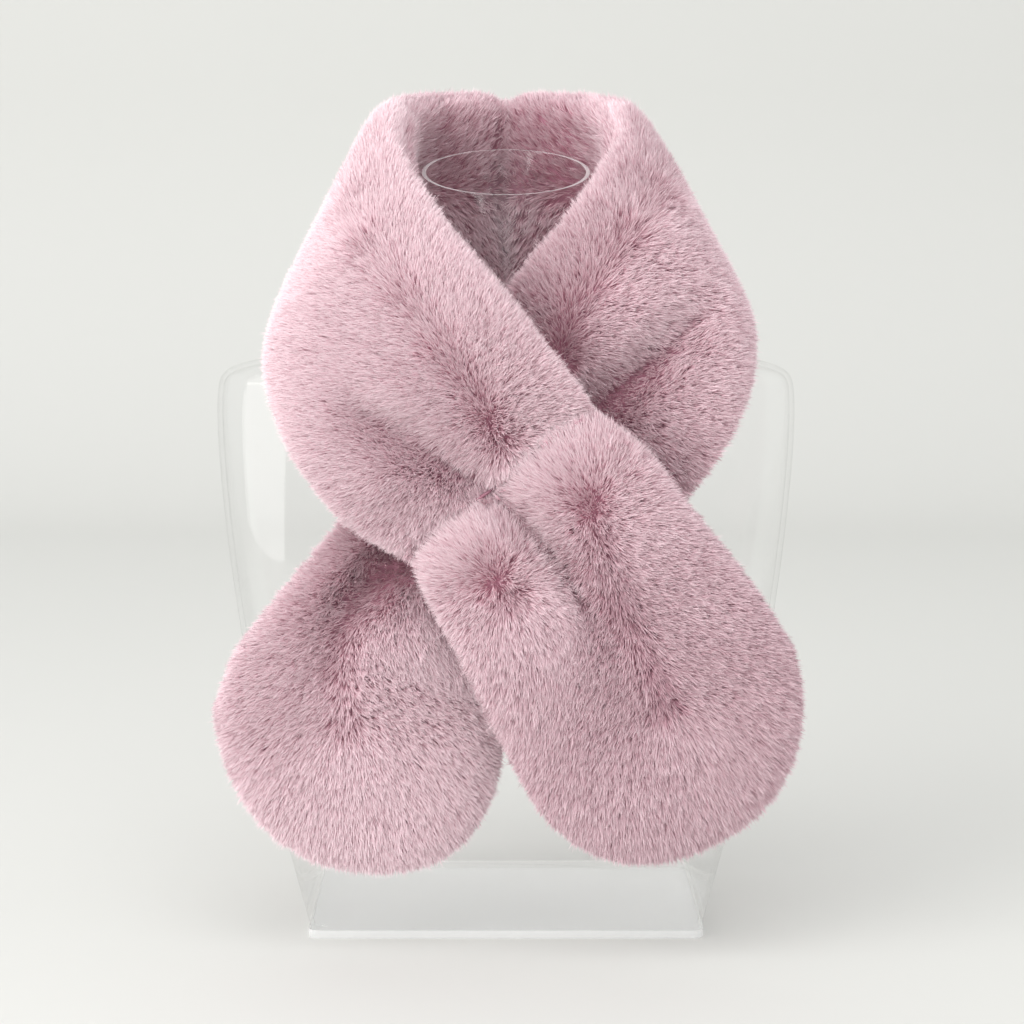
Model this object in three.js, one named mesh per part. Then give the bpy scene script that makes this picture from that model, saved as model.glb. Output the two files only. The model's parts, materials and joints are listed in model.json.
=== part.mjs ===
// A pull-through fur collar wrap worn on a clear acrylic bust stand.
// Millimetres, +Z up. The wearer's front faces -Y, and +X is the viewer's right.
// The wrap is one long strip of two-faced fur, sewn at the centre back. Its over half crosses the chest
// from the viewer's left and ends in a slotted end panel. Its under half passes behind the crossing and
// through a short keeper loop, and hangs out at the lower left. Each fur solid reaches as far as its pile.

import * as THREE from 'three';

// Driving dimensions of the stand
const BASE_WIDTH = 234;
const BASE_DEPTH = 150;
const BASE_FRONT = -56;
const BASE_THICKNESS = 5;
const BASE_CORNER = 6;
const WALL = 3;
const NECK_RADIUS = 50;
const NECK_SLANT = THREE.MathUtils.degToRad(14.5);
const SLANT_FROM = 392;
const SLANT_FULL = 440;
const GLUE_GAP = 0.3;

// Driving dimensions of the wrap
const EDGE_POWER = 3.2;
const LOBE_HEIGHT = 5;
const NOTCH_AT = 0.54;
const LOBE_REACH = 26;

// Mesh fineness
const OUTER_POINTS = 24;
const INNER_POINTS = 12;
const STAND_POINTS = 40;
const ROUND_STEPS = 8;

const furMaterial = new THREE.MeshStandardMaterial({ color: 0xd7b1bd, roughness: 0.95, metalness: 0 });
const keeperMaterial = new THREE.MeshStandardMaterial({ color: 0xc59aa8, roughness: 0.95, metalness: 0 });
const acrylicMaterial = new THREE.MeshStandardMaterial({
  color: 0xeef2f1, roughness: 0.05, metalness: 0, transparent: true, opacity: 0.3,
});

// Two strips that are sewn end to end share the way their sections face and run at the seam.
const CENTRE_BACK = { facing: [0, 1, 0.09], running: [1, 0, 0] };
const CROSS_SEAM = { facing: [0, -1, 0.06], running: [0.641, 0, -0.767] };
const SLOT_MOUTH = { facing: [0, -1, 0], running: [-0.64, 0, -0.77] };

// Each row of a strip is one section across it, from its upper (neckline) edge to its lower (hem) edge,
// with the pile's depth on the outer face and on the inner face, all in millimetres.
const overHalfRows = [
  { upper: [-0.15, 69, 491.5], lower: [-0.15, 82, 349], outer: 13, inner: 12 },
  { upper: [-15, 69, 497], lower: [-22, 83, 345], outer: 20, inner: 18 },
  { upper: [-42, 57, 496], lower: [-74, 76, 348], outer: 22, inner: 19 },
  { upper: [-57, 30, 492], lower: [-105, 46, 353], outer: 22, inner: 20 },
  { upper: [-60, 0, 484], lower: [-117, 6, 352], outer: 22, inner: 20 },
  { upper: [-57, -32, 464], lower: [-129, -36, 344], outer: 22, inner: 19 },
  { upper: [-45, -60, 440], lower: [-132, -68, 326], outer: 22, inner: 18 },
  { upper: [-23, -82, 411], lower: [-125, -88, 304], outer: 22, inner: 18 },
  { upper: [1, -97, 384], lower: [-112, -99, 281], outer: 22, inner: 18 },
  { upper: [26, -104, 351], lower: [-90, -103, 255], outer: 20, inner: 17 },
  { upper: [50, -107, 320], lower: [-54, -105, 233], outer: 12, inner: 12 },
];

const slottedEndRows = [
  { upper: [50.23, -107, 319.73], lower: [-53.77, -105, 232.73], outer: 12, inner: 12 },
  { upper: [76, -108, 300], lower: [-44, -109, 212], outer: 22, inner: 17 },
  { upper: [105, -107, 265], lower: [-28, -109, 182], outer: 23, inner: 19 },
  { upper: [136, -104, 226], lower: [-12, -106, 148], outer: 23, inner: 20 },
  { upper: [160, -100, 190], lower: [4, -102, 115], outer: 23, inner: 20 },
];
const SLOTTED_END_ROUND = { length: 89, direction: [0.375, 0.06, -0.925] };

const underHalfRows = [
  { upper: [0.15, 69, 491.5], lower: [0.15, 82, 349], outer: 13, inner: 12 },
  { upper: [15, 69, 497], lower: [22, 83, 345], outer: 20, inner: 18 },
  { upper: [42, 57, 496], lower: [76, 76, 348], outer: 22, inner: 19 },
  { upper: [58, 30, 492], lower: [110, 46, 351], outer: 22, inner: 20 },
  { upper: [62, 0, 485], lower: [128, 6, 350], outer: 22, inner: 20 },
  { upper: [58, -30, 463], lower: [138, -34, 344.6], outer: 22, inner: 19 },
  { upper: [43, -50, 439], lower: [138, -58, 325], outer: 21, inner: 16 },
  { upper: [23, -61, 412], lower: [127, -69, 298], outer: 17, inner: 13 },
  { upper: [0, -68, 385], lower: [106, -74, 268], outer: 12, inner: 10 },
  { upper: [-26, -72, 352], lower: [74, -74, 238], outer: 10, inner: 9.5 },
  { upper: [-48, -73, 322], lower: [38, -74, 216], outer: 10, inner: 9.5 },
];

const pulledEndRows = [
  { upper: [-48.23, -73, 321.73], lower: [37.77, -74, 215.73], outer: 10, inner: 9.5 },
  { upper: [-72, -73.5, 286], lower: [14, -73, 196], outer: 11, inner: 9.5 },
  { upper: [-97, -76, 250], lower: [4, -72.5, 180], outer: 15, inner: 11 },
  { upper: [-128, -78, 214], lower: [2, -72, 162], outer: 20, inner: 13 },
  { upper: [-154, -78, 182], lower: [2, -72, 146], outer: 21, inner: 14 },
  { upper: [-168, -78, 148], lower: [-1, -73, 128], outer: 21, inner: 15 },
];
const PULLED_END_ROUND = { length: 90, direction: [0, 0.02, -1] };

// The keeper runs behind the under half, from the back of the over half to the back of the end panel.
const keeperRows = [
  { upper: [-40, -65.8, 376], lower: [-80, -67.8, 338], outer: 2.5, inner: 2.5 },
  { upper: [-22, -60, 350], lower: [-62, -59, 312], outer: 3, inner: 3 },
  { upper: [8, -58.5, 314], lower: [-32, -58.5, 276], outer: 3, inner: 3 },
  { upper: [42, -59, 262], lower: [0, -59, 226], outer: 3, inner: 3 },
  { upper: [72, -68, 216], lower: [30, -68, 180], outer: 3, inner: 3 },
  { upper: [84, -81.4, 196], lower: [42, -81.4, 160], outer: 2.5, inner: 2.5 },
];

// A fold is a soft trough pressed into the outer face, or a ridge where its depth is negative. Its path
// lists places: a section number, a share of the width from upper to lower edge, and the depth there.
const overHalfFolds = [
  { path: [[7.6, 0.72, 0], [8.1, 0.66, 7], [8.6, 0.6, 9], [10, 0.54, 9]], width: 9 },
  { path: [[7.4, 0.55, 0], [8.4, 0.48, -3], [9.2, 0.44, 0]], width: 14 },
  { path: [[8, 0.83, 0], [8.8, 0.78, -4], [9.4, 0.75, 0]], width: 13 },
];
const slottedEndFolds = [
  { path: [[0, 0.54, 9], [0.3, 0.54, 9], [0.9, 0.53, 13], [1.8, 0.51, 11], [2.5, 0.49, 5], [3.6, 0.44, 0]], width: 9 },
];
const underHalfFolds = [
  { path: [[5.6, 0.67, 0], [6.3, 0.62, 8], [7.4, 0.56, 12], [8.3, 0.52, 9], [9.2, 0.5, 0]], width: 12 },
  { path: [[6, 0.44, 0], [7, 0.4, -5], [8, 0.36, 0]], width: 18 },
];
const pulledEndFolds = [
  { path: [[0.9, 0.5, 0], [1.4, 0.42, 9], [2, 0.33, 12], [2.8, 0.28, 11], [4.8, 0.38, 0]], width: 13 },
  { path: [[1.6, 0.62, 0], [2.4, 0.6, -4], [3.8, 0.62, 0]], width: 14 },
];

/** Makes an indexed geometry whose faces point out, turning them all if the enclosed volume is negative. */
function faceOutwards(positions, indices) {
  const [a, b, c] = [new THREE.Vector3(), new THREE.Vector3(), new THREE.Vector3()];
  let volume = 0;
  for (let i = 0; i < indices.length; i += 3) {
    a.fromArray(positions, indices[i] * 3);
    b.fromArray(positions, indices[i + 1] * 3);
    c.fromArray(positions, indices[i + 2] * 3);
    volume += a.dot(b.cross(c));
  }
  const geometry = new THREE.BufferGeometry();
  geometry.setAttribute('position', new THREE.Float32BufferAttribute(positions, 3));
  geometry.setIndex(volume > 0 ? indices : indices.reverse());
  geometry.computeVertexNormals();
  return geometry;
}

/** The triangles between two rings of points, given where each ring starts in the list of points. */
function bandBetween(start, nextStart, count) {
  const indices = [];
  for (let k = 0; k < count; k += 1) {
    const next = (k + 1) % count;
    indices.push(start + k, start + next, nextStart + k, start + next, nextStart + next, nextStart + k);
  }
  return indices;
}

/** Builds a closed body from a stack of rings, with a fan of triangles over each end. */
function closedLoft(rings) {
  const count = rings[0].length;
  const positions = rings.flat().flatMap((point) => point.toArray());
  const indices = [];
  for (let row = 0; row + 1 < rings.length; row += 1) {
    indices.push(...bandBetween(row * count, (row + 1) * count, count));
  }
  for (const row of [0, rings.length - 1]) {
    const middle = rings[row].reduce((sum, point) => sum.add(point), new THREE.Vector3());
    const hub = positions.length / 3;
    positions.push(...middle.divideScalar(count).toArray());
    for (let k = 0; k < count; k += 1) {
      const [from, to] = row === 0 ? [(k + 1) % count, k] : [k, (k + 1) % count];
      indices.push(hub, row * count + from, row * count + to);
    }
  }
  return faceOutwards(positions, indices);
}

/** Joins an outer and an inner stack of rings into one wall, open at both ends. */
function closedWall(outer, inner) {
  const count = outer[0].length;
  const loop = [...outer, ...inner.slice().reverse()];
  const positions = loop.flat().flatMap((point) => point.toArray());
  const indices = loop.flatMap((ring, row) => (
    bandBetween(row * count, ((row + 1) % loop.length) * count, count)
  ));
  return faceOutwards(positions, indices);
}

/** How far one fold presses the surface in at a point, from the nearest place on the fold's path. */
function pressedBy({ places, width }, point) {
  let nearest = { distance: Infinity, depth: 0 };
  for (let i = 0; i + 1 < places.length; i += 1) {
    const stretch = new THREE.Line3(places[i].point, places[i + 1].point);
    const along = stretch.closestPointToPointParameter(point, true);
    const distance = stretch.at(along, new THREE.Vector3()).distanceTo(point);
    if (distance < nearest.distance) {
      nearest = { distance, depth: THREE.MathUtils.lerp(places[i].depth, places[i + 1].depth, along) };
    }
  }
  return nearest.depth * Math.exp(-((nearest.distance / width) ** 2));
}

/** How far the cross seam reaches past its straight line: two lobes with a notch between them. */
function lobeHeight(across) {
  const lobe = across < NOTCH_AT ? across / NOTCH_AT : (1 - across) / (1 - NOTCH_AT);
  return LOBE_HEIGHT * Math.sin(Math.PI * lobe);
}

/** The outline of a section as places around it: a share of the width and a share of the pile's depth. */
function sectionOutline() {
  const places = [];
  const side = (points, sign) => {
    for (let k = 0; k < points; k += 1) {
      const even = -1 + (2 * k) / points;
      const share = 1.2 * even - 0.2 * even ** 5;
      const rise = Math.max(0, 1 - Math.abs(share) ** EDGE_POWER) ** (1 / EDGE_POWER);
      places.push({ share: 0.5 + 0.5 * sign * share, rise: sign * rise });
    }
  };
  side(OUTER_POINTS, 1);
  side(INNER_POINTS, -1);
  return places;
}

/**
 * A strip of two-faced fur as a closed solid, lofted through sections across it.
 * outerSide is 1 or -1, and says which side of the strip faces away from the stand. start and end say how
 * a sewn end faces and runs, and lobed names the sewn end that has the cross seam's lobes.
 */
function furStrip(rows, { outerSide, steps, folds = [], start = null, end = null, lobed = null, round = null }) {
  const curve = (pick) => new THREE.CatmullRomCurve3(rows.map(pick), false, 'centripetal');
  const upperEdge = curve((row) => new THREE.Vector3(...row.upper));
  const lowerEdge = curve((row) => new THREE.Vector3(...row.lower));
  const depths = curve((row) => new THREE.Vector3(row.outer, row.inner, 0));
  const middleAt = (t) => upperEdge.getPoint(t).lerp(lowerEdge.getPoint(t), 0.5);
  const foldsInPlace = folds.map(({ path, width }) => ({
    places: path.map(([section, across, depth]) => {
      const t = section / (rows.length - 1);
      return { point: upperEdge.getPoint(t).lerp(lowerEdge.getPoint(t), across), depth };
    }),
    width,
  }));
  const outline = sectionOutline();
  const seamMiddle = lobed && middleAt(lobed === 'end' ? 1 : 0);

  const section = (t, shrink, shift) => {
    const upper = upperEdge.getPoint(t);
    const lower = lowerEdge.getPoint(t);
    const depth = depths.getPoint(t);
    const sewn = (t === 0 && start) || (t === 1 && end);
    const around = middleAt(Math.min(1, t + 0.01)).sub(middleAt(Math.max(0, t - 0.01)));
    const across = lower.clone().sub(upper).normalize();
    const outward = sewn
      ? new THREE.Vector3(...sewn.facing).projectOnPlane(across).normalize()
      : around.cross(across).normalize().multiplyScalar(outerSide);
    const thin = shrink ** 0.6;
    return outline.map(({ share, rise }) => {
      const place = upper.clone().lerp(lower, 0.5 + (share - 0.5) * shrink).add(shift);
      let height = rise * (rise > 0 ? depth.x : depth.y) * thin;
      if (rise > 0) {
        const pressed = foldsInPlace.reduce((sum, fold) => sum + pressedBy(fold, place), 0);
        height -= pressed * rise * thin;
      }
      if (lobed) {
        const fade = Math.exp(-((middleAt(t).distanceTo(seamMiddle) / LOBE_REACH) ** 2));
        const running = new THREE.Vector3(...CROSS_SEAM.running);
        place.addScaledVector(running, -lobeHeight(share) * fade);
      }
      return place.addScaledVector(outward, height);
    });
  };

  const rings = [];
  for (let i = 0; i <= steps; i += 1) {
    rings.push(section(i / steps, 1, new THREE.Vector3()));
  }
  if (round) {
    const direction = new THREE.Vector3(...round.direction).normalize();
    for (let i = 1; i <= ROUND_STEPS; i += 1) {
      const angle = (0.485 * Math.PI * i) / ROUND_STEPS;
      const shift = direction.clone().multiplyScalar(round.length * Math.sin(angle));
      rings.push(section(1, Math.cos(angle) ** 0.85, shift));
    }
  }
  return closedLoft(rings);
}

// Each row of the bust is one level section: its height, half width, half depth, how far back its middle
// sits, and the power of its superellipse, from boxy at the foot to a circle at the neck.
const bustRows = [
  { z: 0, halfWidth: 118, halfDepth: 73, back: 18, power: 13 },
  { z: 60, halfWidth: 133.5, halfDepth: 68, back: 13, power: 9 },
  { z: 120, halfWidth: 148, halfDepth: 62, back: 8, power: 6.5 },
  { z: 180, halfWidth: 159.5, halfDepth: 57, back: 4, power: 5 },
  { z: 230, halfWidth: 166.5, halfDepth: 54, back: 1.5, power: 4 },
  { z: 275, halfWidth: 171, halfDepth: 51.5, back: 0.5, power: 3.4 },
  { z: 307, halfWidth: 172.5, halfDepth: 50.5, back: 0, power: 3.1 },
  { z: 325, halfWidth: 171.5, halfDepth: 50, back: 0, power: 3 },
  { z: 331, halfWidth: 169, halfDepth: 50, back: 0, power: 2.9 },
  { z: 335, halfWidth: 163, halfDepth: 50, back: 0, power: 2.8 },
  { z: 338.5, halfWidth: 149, halfDepth: 50, back: 0, power: 2.7 },
  { z: 344, halfWidth: 127, halfDepth: 50, back: 0, power: 2.5 },
  { z: 351, halfWidth: 101, halfDepth: 50, back: 0, power: 2.3 },
  { z: 358, halfWidth: 79, halfDepth: 50, back: 0, power: 2.1 },
  { z: 365, halfWidth: 63, halfDepth: 50, back: 0, power: 2 },
  { z: 374, halfWidth: 54, halfDepth: 50, back: 0, power: 2 },
  { z: 388, halfWidth: NECK_RADIUS, halfDepth: NECK_RADIUS, back: 0, power: 2 },
  { z: 404, halfWidth: NECK_RADIUS, halfDepth: NECK_RADIUS, back: 0, power: 2 },
  { z: 426, halfWidth: NECK_RADIUS, halfDepth: NECK_RADIUS, back: 0, power: 2 },
  { z: 449.5, halfWidth: NECK_RADIUS, halfDepth: NECK_RADIUS, back: 0, power: 2 },
];

/** A power that keeps its sign, for superellipse outlines. */
function signedPower(value, power) {
  return Math.sign(value) * Math.abs(value) ** power;
}

/** Moves each point of a lofted wall inwards by the wall's thickness, keeping the two rims level. */
function insetRings(rings) {
  const last = rings.length - 1;
  return rings.map((ring, i) => ring.map((point, k) => {
    const above = rings[Math.min(i + 1, last)][k];
    const below = rings[Math.max(i - 1, 0)][k];
    const around = ring[(k + 1) % ring.length].clone().sub(ring.at(k - 1));
    const normal = around.cross(above.clone().sub(below)).normalize();
    if (i === 0 || i === last) normal.setZ(0).normalize();
    return point.clone().addScaledVector(normal, -WALL);
  }));
}

/** The clear bust: one hollow wall, open at the neck's slanted rim and at the foot. */
function bustShell() {
  const foot = BASE_THICKNESS + GLUE_GAP;
  const outer = bustRows.map(({ z, halfWidth, halfDepth, back, power }) => {
    const slanted = THREE.MathUtils.smoothstep(z, SLANT_FROM, SLANT_FULL) * Math.tan(NECK_SLANT);
    const ring = [];
    for (let k = 0; k < STAND_POINTS; k += 1) {
      const angle = (2 * Math.PI * k) / STAND_POINTS;
      const x = signedPower(Math.cos(angle), 2 / power) * halfWidth;
      const y = signedPower(Math.sin(angle), 2 / power) * halfDepth + back;
      ring.push(new THREE.Vector3(x, y, Math.max(z, foot) + y * slanted));
    }
    return ring;
  });
  return closedWall(outer, insetRings(outer));
}

/** The base plate, a rounded rectangle under the whole foot of the bust. */
function basePlate() {
  const [left, right] = [-BASE_WIDTH / 2, BASE_WIDTH / 2];
  const [front, back] = [BASE_FRONT, BASE_FRONT + BASE_DEPTH];
  const outline = new THREE.Shape();
  outline.moveTo(left + BASE_CORNER, front);
  outline.lineTo(right - BASE_CORNER, front);
  outline.absarc(right - BASE_CORNER, front + BASE_CORNER, BASE_CORNER, -Math.PI / 2, 0);
  outline.lineTo(right, back - BASE_CORNER);
  outline.absarc(right - BASE_CORNER, back - BASE_CORNER, BASE_CORNER, 0, Math.PI / 2);
  outline.lineTo(left + BASE_CORNER, back);
  outline.absarc(left + BASE_CORNER, back - BASE_CORNER, BASE_CORNER, Math.PI / 2, Math.PI);
  outline.lineTo(left, front + BASE_CORNER);
  outline.absarc(left + BASE_CORNER, front + BASE_CORNER, BASE_CORNER, Math.PI, 1.5 * Math.PI);
  return new THREE.ExtrudeGeometry(outline, { depth: BASE_THICKNESS, bevelEnabled: false, curveSegments: 6 });
}

/** Names a mesh for its sub-part. */
function namedMesh(name, geometry, material) {
  const mesh = new THREE.Mesh(geometry, material);
  mesh.name = name;
  return mesh;
}

const wrap = new THREE.Group();
wrap.add(namedMesh('wrap_over_half', furStrip(overHalfRows, {
  outerSide: -1, steps: 48, folds: overHalfFolds, start: CENTRE_BACK, end: CROSS_SEAM, lobed: 'end',
}), furMaterial));
wrap.add(namedMesh('wrap_slotted_end', furStrip(slottedEndRows, {
  outerSide: -1, steps: 20, folds: slottedEndFolds, start: CROSS_SEAM, lobed: 'start', round: SLOTTED_END_ROUND,
}), furMaterial));
wrap.add(namedMesh('wrap_under_half', furStrip(underHalfRows, {
  outerSide: 1, steps: 38, folds: underHalfFolds, start: CENTRE_BACK, end: SLOT_MOUTH,
}), furMaterial));
wrap.add(namedMesh('wrap_pulled_end', furStrip(pulledEndRows, {
  outerSide: 1, steps: 20, folds: pulledEndFolds, start: SLOT_MOUTH, round: PULLED_END_ROUND,
}), furMaterial));
wrap.add(namedMesh('wrap_keeper', furStrip(keeperRows, { outerSide: -1, steps: 10 }), keeperMaterial));

const stand = new THREE.Group();
stand.add(namedMesh('stand_base', basePlate(), acrylicMaterial));
stand.add(namedMesh('stand_bust', bustShell(), acrylicMaterial));

// The origin is the middle of the underside of the whole object's box.
const collarWrapOnStand = new THREE.Group();
collarWrapOnStand.add(wrap, stand);
const extent = new THREE.Box3().setFromObject(collarWrapOnStand, true);
const middle = extent.getCenter(new THREE.Vector3());
collarWrapOnStand.position.set(-middle.x, -middle.y, -extent.min.z);

export default collarWrapOnStand;
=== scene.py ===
"""A pull-through fur collar wrap on a clear bust stand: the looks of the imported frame.

Each stretch of the wrap is an undercoat on its solid's form, with its pile combed over it as real strands.
The pile leans away from the partings of each stretch, along the strip and out to its edges.
"""

from __future__ import annotations

import json
import logging
import math
from dataclasses import dataclass, field
from enum import Enum

import bmesh
import bpy
import numpy as np
from mathutils import Euler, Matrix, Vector
from mathutils.bvhtree import BVHTree

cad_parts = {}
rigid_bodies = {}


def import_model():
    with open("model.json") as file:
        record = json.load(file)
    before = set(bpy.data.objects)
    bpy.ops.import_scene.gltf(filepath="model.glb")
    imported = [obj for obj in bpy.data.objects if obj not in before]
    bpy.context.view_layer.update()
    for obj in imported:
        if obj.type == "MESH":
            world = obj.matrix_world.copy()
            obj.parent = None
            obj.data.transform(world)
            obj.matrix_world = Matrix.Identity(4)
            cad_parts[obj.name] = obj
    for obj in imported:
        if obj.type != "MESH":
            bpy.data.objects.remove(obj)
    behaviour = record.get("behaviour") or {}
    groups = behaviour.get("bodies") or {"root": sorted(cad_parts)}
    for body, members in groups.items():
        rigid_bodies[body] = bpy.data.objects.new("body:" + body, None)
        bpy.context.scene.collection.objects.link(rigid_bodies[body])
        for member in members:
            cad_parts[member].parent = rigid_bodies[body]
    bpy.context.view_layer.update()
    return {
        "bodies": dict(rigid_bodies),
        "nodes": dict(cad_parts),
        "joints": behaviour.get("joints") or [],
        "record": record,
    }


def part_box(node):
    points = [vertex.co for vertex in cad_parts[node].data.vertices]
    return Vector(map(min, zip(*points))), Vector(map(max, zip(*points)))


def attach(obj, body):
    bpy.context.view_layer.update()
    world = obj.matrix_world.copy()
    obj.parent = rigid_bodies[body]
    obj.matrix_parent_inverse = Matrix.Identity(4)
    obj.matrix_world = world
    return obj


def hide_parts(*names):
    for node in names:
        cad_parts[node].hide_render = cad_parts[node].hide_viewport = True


LOG = logging.getLogger("collar_wrap")

MM = 0.001
BAKE_MAP = "OFBake"
# The plate's front edge, in the frame that the section tables are measured in
PLATE_FRONT = -56 * MM
# The way the neck's slanted rim faces
RIM_TILT = math.radians(14.5)
NECK_UP = Vector((0.0, -math.sin(RIM_TILT), math.cos(RIM_TILT)))
# Vertices closer together than this are one
MERGE_WITHIN = 0.01 * MM
# A vertex with more edges than this is the middle of a closed end
HUB = 12
# Steps of two sequences that fill a square evenly, worked out from the plastic number
EVEN_STEPS = (0.7548776662, 0.5698402910)
# Points along a strip's middle line, and from one place of a path to the next
LINE_POINTS = 90
PATH_POINTS = 12
# How far below the surface its thickness is measured, and how far sewn ends reach, in millimetres
BELOW = 0.05
SEAM_REACH = 0.2
# Where a strand is widest, as a share of its length
SHOULDER = 0.6
# How far along and to the side a strand's root, widest place and tip lie on its map
MAP_ALONG = (0.01, SHOULDER, 0.99)
MAP_ASIDE = (0.0, 0.008, 0.0)

Triple = tuple[float, float, float]


def linear(red: int, green: int, blue: int) -> Triple:
    """Turns a colour of 0 to 255 a channel into linear values for shaders, by the sRGB curve."""
    shares = (channel / 255 for channel in (red, green, blue))
    return tuple(s / 12.92 if s <= 0.04045 else ((s + 0.055) / 1.055) ** 2.4 for s in shares)


def unit(vectors: np.ndarray) -> np.ndarray:
    """Scales each row to length 1."""
    return vectors / np.maximum(np.linalg.norm(vectors, axis=-1, keepdims=True), 1e-9)


def dots(a: np.ndarray, b: np.ndarray) -> np.ndarray:
    """The dot product of each pair of rows, as one column."""
    return (a * b).sum(-1, keepdims=True)


def between(rows: np.ndarray, steps: np.ndarray) -> np.ndarray:
    """The values at row numbers that may lie between two rows."""
    return np.stack([np.interp(steps, np.arange(len(rows)), column) for column in rows.T], 1)


def placed(name: str, data: bpy.types.ID) -> bpy.types.Object:
    """Puts a mesh, lamp or camera into the scene.

    Args:
        name: the object's name.
        data: what it shows.

    Returns:
        The new object.
    """
    made = bpy.data.objects.new(name, data)
    bpy.context.collection.objects.link(made)
    return made


def select(made: bpy.types.Object) -> None:
    """Makes one object the only one that operators act on."""
    bpy.ops.object.select_all(action="DESELECT")
    bpy.context.view_layer.objects.active = made
    made.select_set(True)


class Shader:
    """A material's node tree, with one way to add any node."""

    def __init__(self, name: str) -> None:
        """Starts an empty tree in a new material.

        Args:
            name: the material's name.
        """
        self.material = bpy.data.materials.new(name)
        self.material.use_nodes = True
        self.tree = self.material.node_tree
        self.tree.nodes.clear()

    def node(self, kind: str, settings: dict | None = None, **sockets: object) -> bpy.types.Node:
        """Adds a node.

        Args:
            kind: the node's type, without the leading "ShaderNode".
            settings: the node's own options, set before its sockets.
            sockets: values or links, by socket name with _ for a space.

        Returns:
            The new node.
        """
        made = self.tree.nodes.new("ShaderNode" + kind)
        for name, value in (settings or {}).items():
            setattr(made, name, value)
        for name, value in sockets.items():
            self.feed(made.inputs[name.replace("_", " ")], value)
        return made

    def feed(self, socket: bpy.types.NodeSocket, value: object) -> None:
        """Links or sets an input socket.

        Args:
            socket: the input socket.
            value: another node's output, or a number or colour to set.
        """
        if isinstance(value, Value):
            value = value.socket
        if isinstance(value, bpy.types.NodeSocket):
            self.tree.links.new(value, socket)
        elif isinstance(value, tuple) and len(value) == 3 and socket.type == "RGBA":
            socket.default_value = (*value, 1.0)
        else:
            socket.default_value = value

    def blend(self, share: object, low: object, high: object) -> bpy.types.NodeSocket:
        """Mixes two colours.

        Args:
            share: how much of the second colour there is, from 0 to 1.
            low: the first colour.
            high: the second colour.

        Returns:
            The mixed colour's socket.
        """
        made = self.tree.nodes.new("ShaderNodeMix")
        made.data_type = "RGBA"
        self.feed(made.inputs[0], share)
        self.feed(made.inputs[6], low)
        self.feed(made.inputs[7], high)
        return made.outputs[2]

    def layer(self, share: object, under: bpy.types.Node, over: bpy.types.Node) -> bpy.types.Node:
        """Mixes two shaders.

        Args:
            share: how much of the second shader there is, from 0 to 1.
            under: the first shader.
            over: the second shader.

        Returns:
            The mixed shader's node.
        """
        made = self.tree.nodes.new("ShaderNodeMixShader")
        for slot, value in zip(made.inputs, (share, under.outputs[0], over.outputs[0])):
            self.feed(slot, value)
        return made

    def finish(self, surface: bpy.types.Node) -> bpy.types.Material:
        """Links the last shader to the output.

        Args:
            surface: the last shader's node.

        Returns:
            The finished material.
        """
        output = self.tree.nodes.new("ShaderNodeOutputMaterial")
        self.tree.links.new(surface.outputs[0], output.inputs["Surface"])
        return self.material


@dataclass
class Value:
    """A number on a surface, with Python's operators as Math nodes."""

    shader: Shader
    socket: bpy.types.NodeSocket

    def apply(self, operation: str, other: object) -> Value:
        """Adds one Math node.

        Args:
            operation: the node's operation.
            other: the second value.

        Returns:
            The result.
        """
        made = self.shader.node("Math", {"operation": operation})
        for slot, value in zip(made.inputs, (self, other)):
            self.shader.feed(slot, value)
        return Value(self.shader, made.outputs[0])

    def __add__(self, other: object) -> Value:
        """Adds."""
        return self.apply("ADD", other)

    def __mul__(self, other: object) -> Value:
        """Multiplies."""
        return self.apply("MULTIPLY", other)

    def __pow__(self, other: float) -> Value:
        """Raises to a power."""
        return self.apply("POWER", other)


@dataclass(frozen=True)
class PileFinish:
    """The dyed plush pile from its root, darker partly as painted shade, to its pale tip, and its painted
    shade colour.
    """

    # Partly painted shade: the root's darker, more saturated colour stands for shade deep in the pile
    root: Triple = linear(208, 134, 156)
    middle: Triple = linear(238, 198, 209)
    tip: Triple = linear(251, 236, 240)
    # Painted shade colour for partings, creases, hollows, the inner face and darker stretches
    painted_shade: Triple = linear(164, 100, 119)
    middle_at: float = 0.45
    shade_power: float = 1.5
    shade_share: float = 0.8
    roughness: float = 0.8
    specular: float = 0.15
    sheen: float = 0.15
    sheen_roughness: float = 0.5
    sheen_tint: Triple = linear(250, 228, 236)

    def material(self) -> bpy.types.Material:
        """Colours each strand by its length and by its tone with painted shade, both read from the strand's
        map.

        Returns:
            The material.
        """
        shader = Shader("plush_pile")
        place = shader.node("UVMap", {"uv_map": BAKE_MAP})
        parts = shader.node("SeparateXYZ", Vector=place.outputs[0])
        tone_and_shade = Value(shader, parts.outputs[0])
        along = Value(shader, parts.outputs[1])
        ramp = shader.node("ValToRGB", Fac=along)
        stops = ramp.color_ramp.elements
        stops[0].position, stops[0].color = 0.0, (*self.root, 1)
        stops[1].position, stops[1].color = 1.0, (*self.tip, 1)
        middle = stops.new(self.middle_at)
        middle.color = (*self.middle, 1)
        # Painted shade: how much of the painted shade colour goes over the ramp, by each strand's tone
        depth = tone_and_shade**self.shade_power * self.shade_share
        return shader.finish(
            shader.node(
                "BsdfPrincipled",
                Base_Color=shader.blend(depth, ramp.outputs[0], self.painted_shade),
                Roughness=self.roughness,
                Specular_IOR_Level=self.specular,
                Sheen_Weight=self.sheen,
                Sheen_Roughness=self.sheen_roughness,
                Sheen_Tint=self.sheen_tint,
            )
        )


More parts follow.
